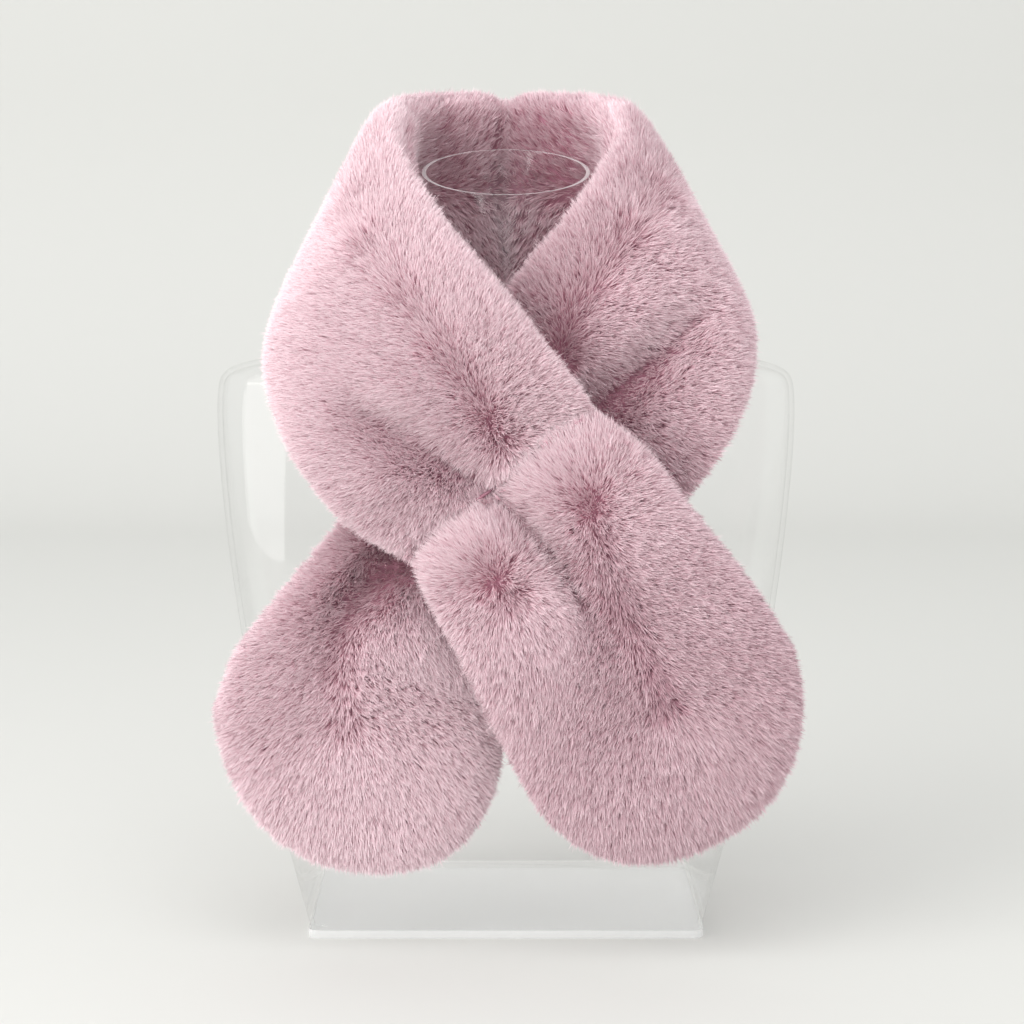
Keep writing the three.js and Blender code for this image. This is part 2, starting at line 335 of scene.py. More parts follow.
@dataclass(frozen=True)
class UndercoatFinish:
    """The dense short fibres under the pile, darker than its tips."""

    dark: Triple = linear(180, 124, 142)
    light: Triple = linear(200, 148, 164)
    mottle_scale: float = 220.0
    fibre_scale: float = 1500.0
    relief: float = 0.6
    relief_height: float = 1 * MM

    def material(self) -> bpy.types.Material:
        """A mottled, matt mauve with a fine fibrous relief.

        Returns:
            The material.
        """
        shader = Shader("undercoat")
        place = shader.node("TexCoord").outputs["Object"]
        mottle = shader.node("TexNoise", Vector=place, Scale=self.mottle_scale, Detail=4.0)
        fibres = shader.node("TexNoise", Vector=place, Scale=self.fibre_scale, Detail=3.0)
        colour = shader.blend(mottle.outputs[0], self.dark, self.light)
        relief = shader.node(
            "Bump", Height=fibres.outputs[0], Strength=self.relief, Distance=self.relief_height
        )
        return shader.finish(
            shader.node("BsdfPrincipled", Base_Color=colour, Roughness=1.0, Normal=relief.outputs[0])
        )


@dataclass(frozen=True)
class KeeperFinish:
    """The keeper's plain cloth with a short nap."""

    dark: Triple = linear(178, 126, 144)
    light: Triple = linear(206, 160, 175)
    thread_scale: float = 500.0
    nap_scale: float = 900.0
    nap_share: float = 0.8
    roughness: float = 0.9
    sheen: float = 0.3
    relief: float = 0.4
    relief_height: float = 0.4 * MM

    def material(self) -> bpy.types.Material:
        """A fine woven ground under a short nap.

        Returns:
            The material.
        """
        shader = Shader("keeper_cloth")
        place = shader.node("TexCoord").outputs["Object"]
        warp, weft = (
            shader.node("TexWave", {"bands_direction": way}, Vector=place, Scale=self.thread_scale)
            for way in "XZ"
        )
        weave = Value(shader, warp.outputs[1]) * Value(shader, weft.outputs[1])
        noise = shader.node("TexNoise", Vector=place, Scale=self.nap_scale, Detail=4.0)
        nap = Value(shader, noise.outputs[0])
        nap_and_weave = nap * self.nap_share + weave * (1 - self.nap_share)
        relief = shader.node(
            "Bump", Height=weave.socket, Strength=self.relief, Distance=self.relief_height
        )
        return shader.finish(
            shader.node(
                "BsdfPrincipled",
                Base_Color=shader.blend(nap_and_weave, self.dark, self.light),
                Roughness=self.roughness,
                Sheen_Weight=self.sheen,
                Normal=relief.outputs[0],
            )
        )


@dataclass(frozen=True)
class AcrylicFinish:
    """Clear polished acrylic, seen by its reflections and its slightly grey edges."""

    clear: Triple = linear(255, 255, 255)
    edge: Triple = linear(230, 230, 229)
    edge_power: float = 8.0
    reflected: float = 0.9
    reflected_power: float = 5.0
    reflected_head_on: float = 0.018
    polish: float = 0.03
    frosted: float = 0.0
    frost: Triple = (0.95, 0.95, 0.95)

    def material(self) -> bpy.types.Material:
        """Lets light straight through, and mirrors it by the angle it is seen at.

        Returns:
            The material.
        """
        shader = Shader("cut_acrylic" if self.frosted else "clear_acrylic")
        aside = Value(shader, shader.node("LayerWeight", Blend=0.5).outputs["Facing"])
        clear = shader.node("BsdfTransparent", Color=self.clear)
        edge = shader.node("BsdfTransparent", Color=self.edge)
        through = shader.layer(aside**self.edge_power, clear, edge)
        mirror = shader.node("BsdfGlossy", Color=(1.0, 1.0, 1.0), Roughness=self.polish)
        gloss = aside**self.reflected_power * self.reflected + self.reflected_head_on
        mixed = shader.layer(gloss, through, mirror)
        if self.frosted:
            mixed = shader.layer(self.frosted, mixed, shader.node("BsdfDiffuse", Color=self.frost))
        return shader.finish(mixed)


@dataclass(frozen=True)
class PaperFinish:
    """The pale studio sweep."""

    colour: Triple = linear(215, 215, 212)
    roughness: float = 0.9

    def material(self) -> bpy.types.Material:
        """A plain matt paper."""
        shader = Shader("studio_paper")
        return shader.finish(
            shader.node("BsdfPrincipled", Base_Color=self.colour, Roughness=self.roughness)
        )


class Side(Enum):
    """Which way a strip's outer face turns from its running direction."""

    LEFT = -1
    RIGHT = 1


@dataclass
class Seam:
    """A sewn end: a place on it, in millimetres, and the direction it faces.

    A face that lies within the stray, in millimetres, and looks squarely along the strip is its cap's.
    """

    place: Triple
    running: Triple
    stray: float = 2.5
    squarely: float = 0.8

    def cap(self, work: bmesh.types.BMesh, shift: Vector) -> set[bmesh.types.BMFace]:
        """Finds the faces that close a solid here.

        Args:
            work: the solid's merged mesh.
            shift: from the tables' frame to the row frame.

        Returns:
            The faces near this end that look along the strip.
        """
        running = Vector(self.running).normalized()
        place = Vector(self.place) * MM + shift
        found = set()
        for face in work.faces:
            off = abs((face.calc_center_median() - place).dot(running))
            if off < self.stray * MM and abs(face.normal.dot(running)) > self.squarely:
                found.add(face)
        return found


@dataclass
class Crease:
    """A line where the pile is pressed flat and given painted shade, as section numbers and shares of the
    width.
    """

    path: list[tuple[float, float]]
    radius: float = 4 * MM
    strength: float = 1.0


@dataclass
class Strands:
    """How a stretch's pile is laid.

    The pile stands up within its reach of a parting, where it also runs further along the strip. Strands
    start within a tuft's radius, most of them in its core, and gather at their tips. Seen from the inner
    face to the outer one, tufts go from the inner share to the edge's and on to all. A spread is a random
    share's standard deviation, and a shortening is a share of the height.
    """

    count: int
    lean: float = 0.75
    reach: float = 9 * MM
    parting_flow: float = 0.4
    parting_softness: float = 4 * MM
    tuft: int = 8
    tuft_radius: float = 1.5 * MM
    tuft_core: float = 0.6
    gather: float = 0.25
    width: float = 0.45 * MM
    width_range: tuple[float, float] = (0.7, 1.3)
    rise: float = 1.02
    facing_slope: float = 2.0
    edge_share: float = 0.9
    inner_share: float = 0.5
    inward_slope: float = 1.5
    hollow_unlean: float = 0.2
    hollow_shortening: float = 0.1
    crease_shortening: float = 0.25
    lean_shortening: float = 0.12
    tuft_lean_spread: float = 0.16
    tuft_height_spread: float = 0.06
    tuft_tone_spread: float = 0.11
    lean_spread: float = 0.15
    height_spread: float = 0.09
    twist_spread: float = 0.3
    tone_spread: float = 0.08


@dataclass(frozen=True)
class Shades:
    """How much painted shade the pile's tone gets at partings, towards the neck, in hollows and in creases.
    """

    parting: float = 0.3
    inward: float = 0.15
    hollow: float = 0.1
    crease: float = 0.75


@dataclass
class Skin:
    """A solid's merged surface, with what is measured at each vertex."""

    work: bmesh.types.BMesh
    caps: set[bmesh.types.BMFace]
    normals: list[Vector]
    depths: list[float]
    hollows: list[float]
    seams: list[Vector]


@dataclass
class Tufts:
    """Where the tufts stand, as one row each."""

    places: np.ndarray
    normals: np.ndarray
    depths: np.ndarray
    hollows: np.ndarray
    inward: np.ndarray


@dataclass
class Blades:
    """Strands, one pointed blade each.

    The corners are each one's root, widest place and tip. They run the other way round where a blade is
    turned, so that it faces outwards. The tones, random variation with painted shade added, go from 0 to 1.
    """

    corners: np.ndarray
    turned: np.ndarray
    tones_and_shade: np.ndarray

    def joined(
        self, name: str, group: np.ndarray, material: bpy.types.Material
    ) -> bpy.types.Object:
        """Joins a group of strands into one mesh.

        Args:
            name: the object's name.
            group: the numbers of the strands in it.
            material: the pile's material.

        Returns:
            The new object.
        """
        count = len(group)
        firsts = np.arange(0, count * 3, 3, dtype=np.int32)
        order = np.where(self.turned[group][:, None], [0, 2, 1], [0, 1, 2])
        mesh = bpy.data.meshes.new(name)
        mesh.vertices.add(count * 3)
        mesh.vertices.foreach_set("co", self.corners[group].astype(np.float32).ravel())
        mesh.loops.add(count * 3)
        mesh.loops.foreach_set("vertex_index", (order + firsts[:, None]).astype(np.int32).ravel())
        mesh.polygons.add(count)
        mesh.polygons.foreach_set("loop_start", firsts)
        mesh.update(calc_edges=True)
        drawn = mesh.uv_layers.new(name=BAKE_MAP)
        aside = np.array(MAP_ASIDE)[order]
        along = np.array(MAP_ALONG)[order]
        places = np.stack([(self.tones_and_shade[group][:, None] + aside).ravel(), along.ravel()], 1)
        drawn.uv.foreach_set("vector", places.astype(np.float32).ravel())
        mesh.materials.append(material)
        return placed(name, mesh)


@dataclass
class FurStretch:
    """One stretch of the wrap. Its sections hold the upper and the lower edge, in millimetres.

    Partings and creases are paths of section numbers and shares of the width. Flows and tones are rows
    of a section number and how far the pile runs along the strip there, or how deep its tone is. Flat,
    area, held and rests_on are fields that this script does not read.
    """

    node: str
    sections: list[tuple[Triple, Triple]]
    side: Side
    partings: list[list[tuple[float, float]]]
    flows: list[tuple[float, float]]
    # Painted shade: rows of a section number and how much darker the pile is there
    tones_and_shade: list[tuple[float, float]]
    creases: list[Crease]
    seams: list[Seam]
    strands: Strands
    shades: Shades = Shades()
    parts: int = 1
    round_end: Triple | None = None
    depth: float = 8.5 * MM
    depth_share: float = 0.42
    drawn_in: float = 0.97
    path_reach: float = 35 * MM
    deep_hollow: float = 5 * MM
    smoothings: int = 14
    smoothing: float = 0.6
    flat: tuple[float, float] = (0.15, 0.356)
    area: float | None = None
    held: str = "draped"
    rests_on: str = "stand_bust"
    seed: int = 1
    shift: Vector = field(default_factory=Vector)

    def edges(self) -> tuple[np.ndarray, np.ndarray]:
        """The two edges as arrays of points in metres, in the row frame.

        Returns:
            The upper and the lower edge, with one point for each section.
        """
        upper, lower = (
            np.array([section[i] for section in self.sections]) * MM + np.array(self.shift)
            for i in (0, 1)
        )
        return upper, lower

    def along(self, points: np.ndarray) -> tuple[np.ndarray, np.ndarray]:
        """Finds where points lie on the strip.

        Args:
            points: places on the strip's surface.

        Returns:
            The running direction at each point, and the section number there.
        """
        upper, lower = self.edges()
        middle = (upper + lower) / 2
        if self.round_end:
            middle = np.vstack([middle, middle[-1] + np.array(self.round_end) * MM])
        steps = np.linspace(0, len(middle) - 1, LINE_POINTS)
        line = between(middle, steps)
        running = unit(np.gradient(line, axis=0))
        nearest = np.argmin(((points[:, None, :] - line[None, :, :]) ** 2).sum(2), axis=1)
        return running[nearest], steps[nearest]

    def in_place(self, path: list[tuple[float, float]]) -> np.ndarray:
        """Lays a path on the strip.

        Args:
            path: section numbers and shares of the width.

        Returns:
            The path as close-set points in the row frame.
        """
        last = len(path) - 1
        steps = np.linspace(0, last, 1 + PATH_POINTS * last)
        section, share = between(np.array(path), steps).T
        upper, lower = (between(edge, section) for edge in self.edges())
        return upper * (1 - share[:, None]) + lower * share[:, None]

    def step_from(
        self, path: list[tuple[float, float]], points: np.ndarray, normals: np.ndarray
    ) -> tuple[np.ndarray, np.ndarray]:
        """Measures points on the surface from a path.

        Args:
            path: section numbers and shares of the width.
            points: places on the surface.
            normals: the surface's normals there.

        Returns:
            The step within the surface from the path to each point, and its length squared.
        """
        line = self.in_place(path)
        square = ((points[:, None, :] - line[None, :, :]) ** 2).sum(2)
        step = points - line[np.argmin(square, 1)]
        step = step - normals * dots(step, normals)
        far = square.min(1) > self.path_reach**2
        return step, np.where(far, np.inf, (step**2).sum(1))

    def combed(self, points: np.ndarray, normals: np.ndarray) -> tuple[np.ndarray, np.ndarray]:
        """The way the pile leans at each point: away from the partings and on along the strip.

        Args:
            points: places on the surface.
            normals: the surface's normals there.

        Returns:
            Vectors in the surface, up to about 1 long, and how near a parting is, from 0 to 1.
        """
        laid = self.strands
        away = np.zeros_like(points)
        nearest = np.full(len(points), np.inf)
        for parting in self.partings:
            step, span = self.step_from(parting, points, normals)
            span = np.minimum(span, (step**2).sum(1))
            away += step / (span + laid.parting_softness**2)[:, None] ** 1.5
            nearest = np.minimum(nearest, span)
        running, section = self.along(points)
        flow = np.interp(section, *zip(*self.flows))[:, None]
        share = np.clip(np.sqrt(nearest) / laid.reach, 0, 1)[:, None]
        flow = flow + np.sign(flow) * (1 - share) * laid.parting_flow
        lean = unit(away) * share * laid.lean + running * flow
        return lean - normals * dots(lean, normals), 1 - share

    def pressed(self, points: np.ndarray, normals: np.ndarray) -> np.ndarray:
        """How far the creases press the pile flat, which also sets how much painted shade they lay on it.

        Args:
            points: places on the surface.
            normals: the surface's normals there.

        Returns:
            A share from 0 to 1 for each point, as one column.
        """
        most = np.zeros(len(points))
        for crease in self.creases:
            _, span = self.step_from(crease.path, points, normals)
            most = np.maximum(most, crease.strength * np.exp(-span / crease.radius**2))
        return most[:, None]

    def skin(self, solid: bpy.types.Object) -> Skin:
        """Merges the solid's loose triangles and measures its surface.

        Args:
            solid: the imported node.

        Returns:
            The merged mesh with each vertex's normal, pile depth, hollowness and cap direction.
        """
        work = bmesh.new()
        work.from_mesh(solid.data)
        bmesh.ops.remove_doubles(work, verts=work.verts, dist=MERGE_WITHIN)
        bmesh.ops.recalc_face_normals(work, faces=work.faces)
        bmesh.ops.triangulate(work, faces=work.faces)
        work.normal_update()
        caps = set().union(*(seam.cap(work, self.shift) for seam in self.seams))
        tree = BVHTree.FromBMesh(work)
        normals, depths, seams = [], [], []
        for vertex in work.verts:
            sides = [face for face in vertex.link_faces if face not in caps] or vertex.link_faces
            normal = sum((face.normal * face.calc_area() for face in sides), Vector()).normalized()
            ends = sum((face.normal for face in vertex.link_faces if face in caps), Vector())
            hit = tree.ray_cast(vertex.co - normal * BELOW * MM, -normal)
            thick = hit[3] if hit[0] is not None else math.inf
            normals.append(normal)
            depths.append(min(self.depth, self.depth_share * thick))
            seams.append(ends.normalized())
        return Skin(work, caps, normals, depths, self.hollows(work, normals), seams)

    def hollows(self, work: bmesh.types.BMesh, normals: list[Vector]) -> list[float]:
        """Measures how far each vertex lies below the surface's smoothed form.

        Args:
            work: the solid's merged mesh.
            normals: its vertices' normals.

        Returns:
            The depths in metres, negative on a ridge.
        """
        places = np.array([v.co[:] for v in work.verts])
        pairs = np.array([[v.index for v in edge.verts] for edge in work.edges])
        pairs = np.vstack([pairs, pairs[:, ::-1]])
        degree = np.bincount(pairs[:, 0], minlength=len(places))[:, None]
        smoothed = places.copy()
        for _ in range(self.smoothings):
            around = np.zeros_like(places)
            np.add.at(around, pairs[:, 0], smoothed[pairs[:, 1]])
            smoothed = (1 - self.smoothing) * smoothed + self.smoothing * around / degree
        sunk = dots(smoothed - places, np.array([n[:] for n in normals]))
        return [float(x) for x in sunk[:, 0]]

    def undercoat(self, skin: Skin) -> bpy.types.Object:
        """Draws the surface in by the pile's depth, and lets the sewn ends meet.

        Args:
            skin: the measured surface.

        Returns:
            The undercoat as a new object.
        """
        work = skin.work.copy()
        sharp = work.edges.layers.float.new("crease_edge")
        for edge in work.edges:
            edge[sharp] = float(all(skin.seams[v.index].length > 0.5 for v in edge.verts))
        for vertex, normal, depth, end in zip(work.verts, skin.normals, skin.depths, skin.seams):
            inward = -(normal - end * normal.dot(end))
            vertex.co += inward * depth * self.drawn_in + end * SEAM_REACH * MM
        for vertex in work.verts:
            if len(vertex.link_edges) > HUB:
                ring = [edge.other_vert(vertex).co for edge in vertex.link_edges]
                vertex.co = sum(ring, Vector()) / len(ring)
        mesh = bpy.data.meshes.new(self.node + "_undercoat")
        work.to_mesh(mesh)
        work.free()
        made = placed(mesh.name, mesh)
        subdivided(made, 1)
        return made

    def facing(self, points: np.ndarray, normals: np.ndarray) -> np.ndarray:
        """Which way the surface looks.

        Args:
            points: places on the surface.
            normals: the surface's normals there.

        Returns:
            From 1 on the outer face to -1 on the inner one.
        """
        upper, lower = self.edges()
        running, section = self.along(points)
        outward = np.cross(running, unit(between(lower - upper, section))) * self.side.value
        return dots(unit(normals), outward)[:, 0]

    def scatter(self, skin: Skin, rng: np.random.Generator) -> Tufts:
        """Places the tufts over the surface, closer together on the outer face.

        Args:
            skin: the measured surface.
            rng: the stretch's seeded random numbers.

        Returns:
            The tufts' places, normals, pile depths, hollowness and whether they face the neck.
        """
        faces = [face for face in skin.work.faces if face not in skin.caps]
        index = np.array([[v.index for v in face.verts] for face in faces])
        places = np.array([v.co[:] for v in skin.work.verts])
        normals = np.array([n[:] for n in skin.normals])
        measures = np.stack([np.array(skin.depths), np.array(skin.hollows)], 1)
        facing = self.facing(places[index].mean(1), normals[index].mean(1))
        laid = self.strands
        thickness = np.clip(facing * laid.facing_slope + laid.edge_share, laid.inner_share, 1.0)
        weights = np.array([face.calc_area() for face in faces]) * thickness
        wanted = laid.count / laid.tuft * weights / weights.sum()
        each = np.floor(wanted + rng.random(len(wanted))).astype(int)
        picked = np.repeat(np.arange(len(each)), each)
        turn = np.arange(len(picked)) - np.repeat(np.cumsum(each) - each, each)
        a, b = ((rng.random(len(each))[picked] + turn * step) % 1 for step in EVEN_STEPS)
        a, b = np.where(a + b > 1, 1 - a, a), np.where(a + b > 1, 1 - b, b)
        shares = np.stack([1 - a - b, a, b], 1)[:, :, None]
        measured = (measures[index[picked]] * shares).sum(1)
        return Tufts(
            places=(places[index[picked]] * shares).sum(1),
            normals=unit((normals[index[picked]] * shares).sum(1)),
            depths=measured[:, :1],
            hollows=np.clip(measured[:, 1:] / self.deep_hollow, 0, 1),
            inward=np.clip(-laid.inward_slope * facing[picked], 0, 1)[:, None],
        )

    def grown(
        self, tufts: Tufts, rng: np.random.Generator
    ) -> tuple[np.ndarray, np.ndarray, np.ndarray]:
        """Works out how each tuft grows.

        Args:
            tufts: where the tufts stand.
            rng: the stretch's seeded random numbers.

        Returns:
            Each tuft's lean, its height as a share of the pile's depth, and its tone, random variation with
            painted shade added.
        """
        laid, shades = self.strands, self.shades
        lean, parted = self.combed(tufts.places, tufts.normals)
        count = len(lean)
        pressed = self.pressed(tufts.places, tufts.normals)
        lean = lean * (1 - laid.hollow_unlean * tufts.hollows)
        lean = lean + rng.normal(0, laid.tuft_lean_spread, (count, 3))
        height = rng.normal(1.0, laid.tuft_height_spread, (count, 1))
        height *= 1 - laid.hollow_shortening * tufts.hollows - laid.crease_shortening * pressed
        # Painted shade: darker along some stretches, at partings, towards the neck, in hollows and in
        # creases
        tone_and_shade = np.interp(self.along(tufts.places)[1], *zip(*self.tones_and_shade))[:, None]
        tone_and_shade = tone_and_shade + shades.parting * parted + shades.inward * tufts.inward
        tone_and_shade = tone_and_shade + shades.hollow * tufts.hollows + shades.crease * pressed
        return lean, height, np.clip(tone_and_shade + rng.normal(0, laid.tuft_tone_spread, (count, 1)), 0, 1)

    def blades(self, skin: Skin) -> Blades:
        """Shapes the strands, in tufts whose tips draw together.

        Args:
            skin: the measured surface that the tips reach out to.

        Returns:
            The stretch's strands.
        """
        rng = np.random.default_rng(self.seed)
        laid = self.strands
        tufts = self.scatter(skin, rng)
        each = (tufts.normals, tufts.depths, tufts.places, *self.grown(tufts, rng))
        normals, depths, places, lean, height, tone_and_shade = (np.repeat(row, laid.tuft, 0) for row in each)
        total = len(normals)
        start = rng.normal(0, laid.tuft_radius * laid.tuft_core, (total, 3))
        start = start - normals * dots(start, normals)
        roots = places - normals * depths + start
        lean = lean + rng.normal(0, laid.lean_spread, (total, 3))
        lean -= normals * dots(lean, normals)
        height = height * rng.normal(1.0, laid.height_spread, (total, 1))
        height /= 1 + laid.lean_shortening * np.linalg.norm(lean, axis=1, keepdims=True)
        tips = roots + (normals * laid.rise + lean) * depths * height - start * laid.gather
        stroke = unit(tips - roots)
        flat = np.cross(stroke, normals) + rng.normal(0, laid.twist_spread, (total, 3))
        beside = unit(flat - stroke * dots(flat, stroke))
        wide = laid.width * rng.uniform(*laid.width_range, (total, 1))
        wide = wide * rng.choice([-1.0, 1.0], (total, 1))
        shoulders = roots + (tips - roots) * SHOULDER + beside * wide
        return Blades(
            corners=np.stack([roots, shoulders, tips], 1),
            turned=dots(np.cross(shoulders - roots, stroke), normals)[:, 0] < 0,
            tones_and_shade=np.clip(tone_and_shade + rng.normal(0, laid.tone_spread, (total, 1)), 0.02, 0.98)[:, 0],
        )

    def pile(self, skin: Skin, material: bpy.types.Material) -> list[bpy.types.Object]:
        """Grows the pile.

        Args:
            skin: the measured surface that the tips reach out to.
            material: the pile's material.

        Returns:
            The strands, as one object for each part.
        """
        blades = self.blades(skin)
        tips = blades.corners[:, 2]
        groups = np.array_split(np.argsort(self.along(tips)[1], kind="stable"), self.parts)
        made = []
        for number, group in enumerate(groups, 1):
            name = f"{self.node}_pile" + (f"_{number}" if self.parts > 1 else "")
            made.append(blades.joined(name, group, material))
        return made


@dataclass
class Wrap:
    """The fur wrap: four stretches of pile, and the keeper behind the crossing."""

    frame: dict
    shift: Vector
    pile_finish: PileFinish = PileFinish()
    undercoat_finish: UndercoatFinish = UndercoatFinish()
    keeper_finish: KeeperFinish = KeeperFinish()

    def stretches(self) -> list[FurStretch]:
        """The four stretches, with their sections, partings and counts of strands.

        Returns:
            The stretches from the over half to the pulled end.
        """
        centre_back = Seam((0, 75, 420), (1, 0, 0))
        cross = Seam((-2, -106, 276.5), (0.641, 0, -0.767), 7.5)
        mouth = Seam((-5, -73.5, 269), (-0.64, 0, -0.77))
        back_crease = Crease([(0, 0.08), (0, 1)], 2.5 * MM, 0.8)
        # The tones rows lay painted shade along each stretch, deepest towards the slotted end's tip.
        return [
            FurStretch(
                node="wrap_over_half",
                sections=[
                    ((-0.15, 69, 491.5), (-0.15, 82, 349)),
                    ((-15, 69, 497), (-22, 83, 345)),
                    ((-42, 57, 496), (-74, 76, 348)),
                    ((-57, 30, 492), (-105, 46, 353)),
                    ((-60, 0, 484), (-117, 6, 352)),
                    ((-57, -32, 464), (-129, -36, 344)),
                    ((-45, -60, 440), (-132, -68, 326)),
                    ((-23, -82, 411), (-125, -88, 304)),
                    ((1, -97, 384), (-112, -99, 281)),
                    ((26, -104, 351), (-90, -103, 255)),
                    ((50, -107, 320), (-54, -105, 233)),
                ],
                side=Side.LEFT,
                partings=[[(0, 0.4), (3, 0.4), (5, 0.34), (7, 0.3), (8.5, 0.32), (9.6, 0.36)]],
                flows=[(0, -0.5), (4, -0.5), (8, -0.5), (8.9, -0.3), (9.4, 0.1), (10, 0.3)],
                tones_and_shade=[(0, 0.15), (10, 0.05)],
                creases=[
                    back_crease,
                    Crease([(0.55, 0.12), (0.35, 0.5), (0.2, 1)], 3 * MM, 0.8),
                    Crease([(9.9, 0), (9.84, 0.27), (9.93, 0.46)], 4 * MM),
                    Crease([(9.93, 0.62), (9.84, 0.77), (9.9, 1)], 4 * MM),
                    Crease([(8.85, 0.57), (9.2, 0.55), (9.5, 0.53), (9.8, 0.535)], 3 * MM),
                    Crease([(7.9, 0.65), (8.3, 0.61)], 3 * MM, 0.6),
                ],
                seams=[centre_back, cross],
                strands=Strands(count=310_000),
                parts=2,
                seed=11,
            ),
            FurStretch(
                node="wrap_slotted_end",
                sections=[
                    ((50.23, -107, 319.73), (-53.77, -105, 232.73)),
                    ((76, -108, 300), (-44, -109, 212)),
                    ((105, -107, 265), (-28, -109, 182)),
                    ((136, -104, 226), (-12, -106, 148)),
                    ((160, -100, 190), (4, -102, 115)),
                ],
                side=Side.LEFT,
                partings=[[(1.2, 0.29), (2, 0.36), (3, 0.42), (4, 0.46)], [(1.35, 0.73), (1.6, 0.72)]],
                flows=[(0, -0.7), (0.8, -0.4), (1.3, 0.0), (1.9, 0.35), (4, 0.4)],
                tones_and_shade=[(0, 0.05), (1.2, 0.2), (2.5, 0.45), (4, 0.5)],
                creases=[Crease([(0.35, 0.54), (0.9, 0.53), (1.8, 0.51), (2.3, 0.49)], 3 * MM)],
                seams=[cross],
                strands=Strands(count=185_000),
                round_end=(33, 5, -82),
                flat=(0.17, 0.239),
                area=0.037,
                rests_on="wrap_pulled_end",
                seed=12,
            ),
            FurStretch(
                node="wrap_under_half",
                sections=[
                    ((0.15, 69, 491.5), (0.15, 82, 349)),
                    ((15, 69, 497), (22, 83, 345)),
                    ((42, 57, 496), (76, 76, 348)),
                    ((58, 30, 492), (110, 46, 351)),
                    ((62, 0, 485), (128, 6, 350)),
                    ((58, -30, 463), (138, -34, 344.6)),
                    ((43, -50, 439), (138, -58, 325)),
                    ((23, -61, 412), (127, -69, 298)),
                    ((0, -68, 385), (106, -74, 268)),
                    ((-26, -72, 352), (74, -74, 238)),
                    ((-48, -73, 322), (38, -74, 216)),
                ],
                side=Side.RIGHT,
                partings=[[(0, 0.4), (2.5, 0.38), (4.5, 0.3), (6.5, 0.24), (7.5, 0.26), (9, 0.4)]],
                flows=[(0, -0.5), (4, -0.5), (7, -0.45), (7.8, -0.2), (8.4, 0.3), (10, 0.3)],
                tones_and_shade=[(0, 0.15), (3, 0.2), (6, 0.3), (10, 0.25)],
                creases=[
                    back_crease,
                    Crease([(5.8, 0.64), (6.6, 0.6), (7.4, 0.56), (8.3, 0.52)], 3.5 * MM, 0.8),
                ],
                seams=[centre_back, mouth],
                strands=Strands(count=205_000),
                parts=2,
                seed=13,
            ),
            FurStretch(
                node="wrap_pulled_end",
                sections=[
                    ((-48.23, -73, 321.73), (37.77, -74, 215.73)),
                    ((-72, -73.5, 286), (14, -73, 196)),
                    ((-97, -76, 250), (4, -72.5, 180)),
                    ((-128, -78, 214), (2, -72, 162)),
                    ((-154, -78, 182), (2, -72, 146)),
                    ((-168, -78, 148), (-1, -73, 128)),
                ],
                side=Side.RIGHT,
                partings=[[(1.2, 0.5), (2.2, 0.36), (3.4, 0.34), (5, 0.45)]],
                flows=[(0, 0.5), (2, 0.4), (5, 0.3)],
                tones_and_shade=[(0, 0.05), (3, 0.1), (5, 0.15)],
                creases=[Crease([(1.9, 0.36), (2.5, 0.28), (3.2, 0.31), (4.2, 0.34)], 4 * MM, 0.5)],
                seams=[mouth],
                strands=Strands(count=160_000),
                round_end=(0, 2, -90),
                flat=(0.17, 0.244),
                area=0.036,
                held="gathered",
                seed=14,
            ),
        ]

    def build(self) -> None:
        """Builds each stretch and the keeper, and puts each in place of its node."""
        pile = self.pile_finish.material()
        undercoat = self.undercoat_finish.material()
        for stretch in self.stretches():
            stretch.shift = self.shift
            skin = stretch.skin(self.frame["nodes"][stretch.node])
            ground = stretch.undercoat(skin)
            ground.data.materials.append(undercoat)
            strands = stretch.pile(skin, pile)
            skin.work.free()
            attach(ground, "root")
            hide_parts(stretch.node)
            for part in strands:
                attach(part, "root")
            LOG.info("%s: %d strands", stretch.node, sum(len(p.data.polygons) for p in strands))
        self.keeper()

    def keeper(self) -> None:
        """Builds the keeper as a smooth strip of plain cloth."""
        made = finer_copy(self.frame["nodes"]["wrap_keeper"], "wrap_keeper_cloth", 1)
        made.data.materials.clear()
        made.data.materials.append(self.keeper_finish.material())
        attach(made, "root")
        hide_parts("wrap_keeper")
        LOG.info("keeper: %d faces", len(made.data.polygons))


def finer_copy(
    solid: bpy.types.Object, name: str, levels: int, rim: float = 0.0
) -> bpy.types.Object:
    """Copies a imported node, bevels its sharp rims and subdivides it.

    Args:
        solid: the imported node.
        name: the copy's name.
        levels: how often it is subdivided.
        rim: the bevel's width on edges sharper than 40 degrees, or 0 for none.

    Returns:
        The copy, as a new object.
    """
    mesh = solid.data.copy()
    mesh.name = name
    made = placed(name, mesh)
    select(made)
    bpy.ops.object.mode_set(mode="EDIT")
    bpy.ops.mesh.select_all(action="SELECT")
    bpy.ops.mesh.remove_doubles(threshold=MERGE_WITHIN)
    bpy.ops.mesh.normals_make_consistent(inside=False)
    bpy.ops.mesh.tris_convert_to_quads(
        face_threshold=math.radians(60), shape_threshold=math.radians(80)
    )
    bpy.ops.object.mode_set(mode="OBJECT")
    if rim:
        bevel = made.modifiers.new("rims", "BEVEL")
        bevel.width = rim
        bevel.segments = 2
        bevel.limit_method = "ANGLE"
        bevel.angle_limit = math.radians(40)
        bpy.ops.object.modifier_apply(modifier="rims")
    subdivided(made, levels)
    made.select_set(False)
    return made


def subdivided(made: bpy.types.Object, levels: int) -> None:
    """Subdivides and smooths a mesh.

    Args:
        made: the mesh's object.
        levels: how often it is subdivided, or 0 for a mesh that is only smoothed.
    """
    bpy.context.view_layer.objects.active = made
    if levels:
        finer = made.modifiers.new("finer", "SUBSURF")
        finer.levels = levels
        finer.render_levels = levels
        bpy.ops.object.modifier_apply(modifier="finer")
    made.data.shade_smooth()


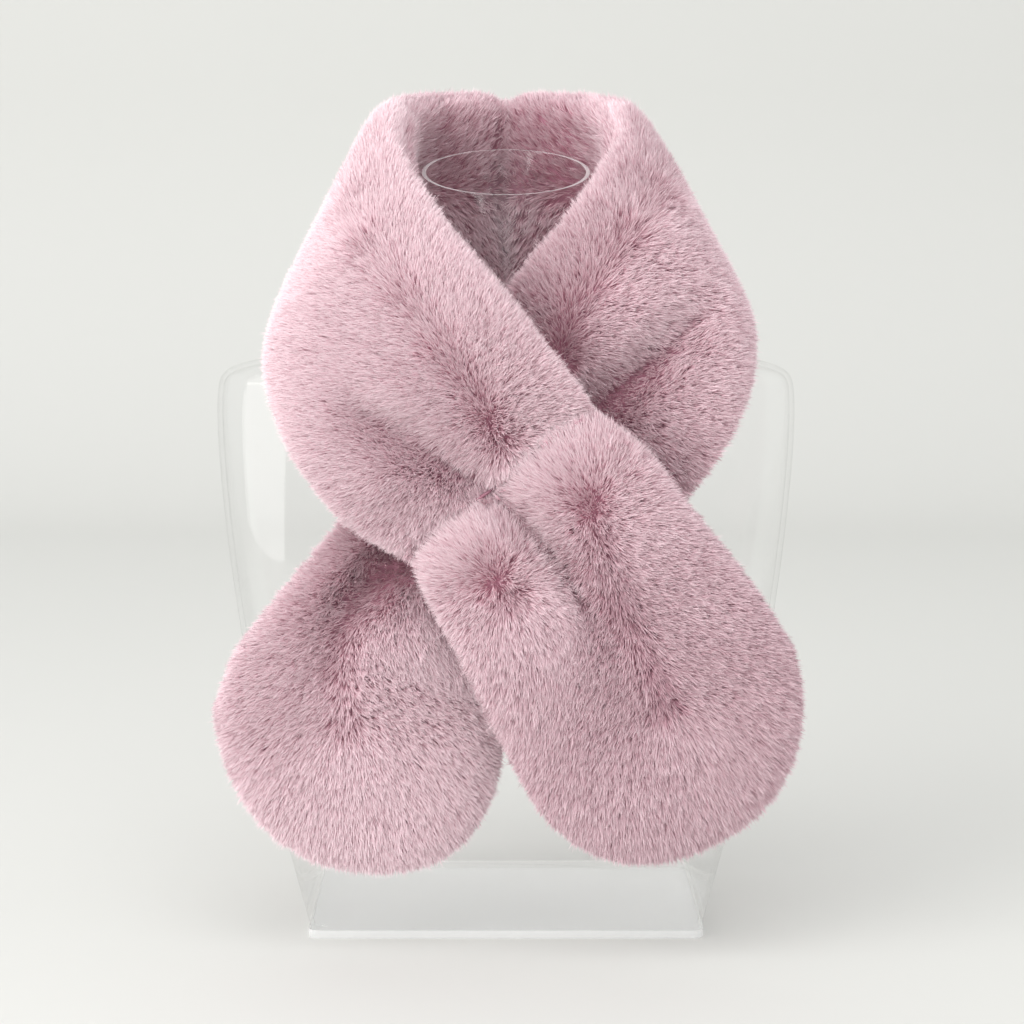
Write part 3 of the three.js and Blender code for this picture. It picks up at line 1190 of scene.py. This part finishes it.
@dataclass
class BustStand:
    """The clear bust and its plate.

    The neck's cut rim is what lies above neck_above and faces squarely along NECK_UP. The plate's cut sides
    are what isn't level.
    """

    frame: dict
    finish: AcrylicFinish = AcrylicFinish()
    cut_finish: AcrylicFinish = AcrylicFinish(frosted=0.35)
    rim: float = 0.6 * MM
    neck_above: float = 0.42
    squarely: float = 0.8
    level: float = 0.9
    smooth_below: float = math.radians(35)

    def is_cut(self, face: bpy.types.MeshPolygon, node: str) -> bool:
        """Finds the cut edges of the sheet: the neck's slanted rim and the plate's sides.

        Args:
            face: a face of the bust or the plate.
            node: the node that it belongs to.

        Returns:
            Whether the face is on a cut edge.
        """
        if node == "stand_base":
            return abs(face.normal.z) < self.level
        return face.center.z > self.neck_above and face.normal.dot(NECK_UP) > self.squarely

    def build(self) -> None:
        """Puts a finer bust and a plate with eased edges in place of the nodes."""
        acrylic = self.finish.material()
        cut = self.cut_finish.material()
        for node, levels in (("stand_bust", 2), ("stand_base", 0)):
            made = finer_copy(self.frame["nodes"][node], node + "_clear", levels, self.rim)
            if not levels:
                select(made)
                bpy.ops.object.shade_smooth_by_angle(angle=self.smooth_below)
            made.data.materials.clear()
            made.data.materials.append(acrylic)
            made.data.materials.append(cut)
            for face in made.data.polygons:
                face.material_index = int(self.is_cut(face, node))
            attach(made, "root")
            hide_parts(node)
            LOG.info("%s: %d faces", node, len(made.data.polygons))


@dataclass(frozen=True)
class Lamp:
    """A soft square light: its place, its width in metres, its power in watts and its colour."""

    name: str
    place: Triple
    width: float
    power: float
    colour: Triple

    def build(self, target: Triple) -> None:
        """Hangs the light so that it faces a place.

        Args:
            target: the place that it faces.
        """
        lamp = bpy.data.lights.new(self.name, "AREA")
        lamp.shape = "SQUARE"
        lamp.size = self.width
        lamp.energy = self.power
        lamp.color = self.colour
        made = placed(self.name, lamp)
        made.location = self.place
        made.rotation_euler = turned_to(self.place, target)


def turned_to(place: Triple, target: Triple) -> Euler:
    """The turn that points a lamp or camera at one place from another."""
    return (Vector(target) - Vector(place)).to_track_quat("-Z", "Y").to_euler()


@dataclass
class Studio:
    """The pale sweep, the soft lights and the camera at the photograph's view."""

    lamps: tuple[Lamp, ...] = (
        Lamp("key", (-1.8, -1.6, 1.9), 2.0, 33.0, (1.0, 0.99, 0.97)),
        Lamp("low", (-2.0, -1.8, 0.5), 1.6, 28.0, (1.0, 0.99, 0.98)),
        Lamp("top", (0.1, -1.3, 2.5), 1.6, 15.0, (1.0, 0.99, 0.98)),
        Lamp("fill", (2.6, -0.4, 2.0), 2.0, 3.0, (0.98, 0.99, 1.0)),
    )
    lamp_target: Triple = (0.0, 0.0, 0.25)
    air_colour: Triple = (0.95, 0.96, 0.96)
    air_strength: float = 0.94
    paper: PaperFinish = PaperFinish()
    sweep_front: float = -3.0
    sweep_back: float = 2.15
    sweep_height: float = 3.4
    sweep_half_width: float = 4.0
    sweep_radius: float = 0.55
    sweep_steps: int = 12
    camera_place: Triple = (0.0, -1.46906, 0.45568)
    camera_target: Triple = (0.0, 0.01634, 0.24692)
    lens: float = 87.9
    sensor: float = 36.0
    shift_x: float = 0.0059
    clear_layers: int = 32

    def sweep(self) -> None:
        """Lays a floor that curves up into a backdrop."""
        bend = self.sweep_back - self.sweep_radius
        profile = [(self.sweep_front, 0.0), (bend, 0.0)]
        for i in range(1, self.sweep_steps + 1):
            angle = math.radians(90 * i / self.sweep_steps)
            rise = self.sweep_radius * (1 - math.cos(angle))
            profile.append((bend + self.sweep_radius * math.sin(angle), rise))
        profile.append((self.sweep_back, self.sweep_height))
        sides = (-self.sweep_half_width, self.sweep_half_width)
        places = [(x, y, z) for y, z in profile for x in sides]
        faces = [(2 * i, 2 * i + 1, 2 * i + 3, 2 * i + 2) for i in range(len(profile) - 1)]
        mesh = bpy.data.meshes.new("studio_sweep")
        mesh.from_pydata(places, [], faces)
        mesh.shade_smooth()
        mesh.materials.append(self.paper.material())
        placed("studio_sweep", mesh)

    def air(self) -> None:
        """Sets the light from all round and plain colours."""
        world = bpy.data.worlds.new("studio_air")
        world.use_nodes = True
        air = world.node_tree.nodes["Background"]
        air.inputs["Color"].default_value = (*self.air_colour, 1)
        air.inputs["Strength"].default_value = self.air_strength
        bpy.context.scene.world = world
        view = bpy.context.scene.view_settings
        view.view_transform = "Standard"
        view.look = "None"
        view.exposure = 0.0

    def rays(self) -> None:
        """Fits the rays to the clear walls and the strands."""
        cycles = bpy.context.scene.cycles
        cycles.transparent_max_bounces = self.clear_layers
        # Long slanted strands overlap in the ray tree, and splitting its boxes renders them faster
        cycles.debug_use_spatial_splits = True

    def camera(self) -> None:
        """Puts the camera at the photograph's view."""
        lens = bpy.data.cameras.new("camera")
        lens.lens = self.lens
        lens.sensor_width = self.sensor
        lens.shift_x = self.shift_x
        lens.clip_start = 0.05
        made = placed("camera", lens)
        made.location = self.camera_place
        made.rotation_euler = turned_to(self.camera_place, self.camera_target)
        bpy.context.scene.camera = made

    def build(self) -> None:
        """Sets the sweep, the lights, the air and the camera."""
        self.sweep()
        for lamp in self.lamps:
            lamp.build(self.lamp_target)
        self.air()
        self.rays()
        self.camera()


def main() -> None:
    """Builds the wrap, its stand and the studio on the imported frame."""
    logging.basicConfig(level=logging.INFO, format="%(message)s")
    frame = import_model()
    low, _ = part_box("stand_base")
    shift = Vector((0.0, low[1] - PLATE_FRONT, 0.0))
    bpy.ops.object.select_all(action="DESELECT")
    Wrap(frame, shift).build()
    BustStand(frame).build()
    Studio().build()


if __name__ == "__main__":
    main()
